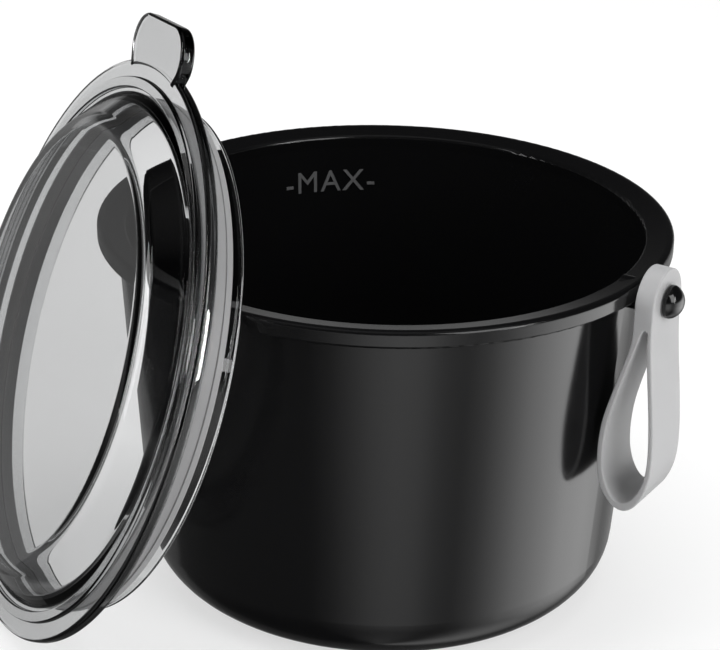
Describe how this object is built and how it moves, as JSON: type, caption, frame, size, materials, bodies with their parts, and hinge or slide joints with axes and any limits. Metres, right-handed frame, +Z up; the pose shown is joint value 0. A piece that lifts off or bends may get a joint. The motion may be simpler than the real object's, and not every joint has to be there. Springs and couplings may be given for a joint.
{
  "type": "aligner case",
  "caption": "Round soaking case for aligners or a denture: black cup with a flared rim, a clear sealed lid with a thumb tab leaning beside it, and a soft carrying loop on a stud.",
  "frame": {"origin": "centre of the cup's foot, on the plane that it stands on", "axes": "+Z up along the cup's axis, +X from the cup's axis towards the stud of the carrying loop"},
  "size_m": [0.1564, 0.1442, 0.1199],
  "materials": {
    "cup": "gloss",
    "loop_stud": "gloss",
    "carry_loop": "satin moulded silicone",
    "lid": "clear, slightly smoky",
    "lid_seal": "translucent silicone"
  },
  "bodies": {
    "cup": {"cup": "cup", "loop_stud": "loop_stud"},
    "loop": {"carry_loop": "carry_loop"},
    "lid": {"lid": "lid", "lid_seal": "lid_seal"}
  },
  "joints": [
    {"name": "loop_swing", "type": "hinge", "parent": "cup", "child": "loop", "pos_m": [0.0578, 0, 0.0742], "axis": [1, 0, 0], "continuous": true},
    {"name": "lid_lift", "type": "slide", "parent": "cup", "child": "lid", "axis": [0, 0, 1], "range_m": [0, 0.095]}
  ]
}
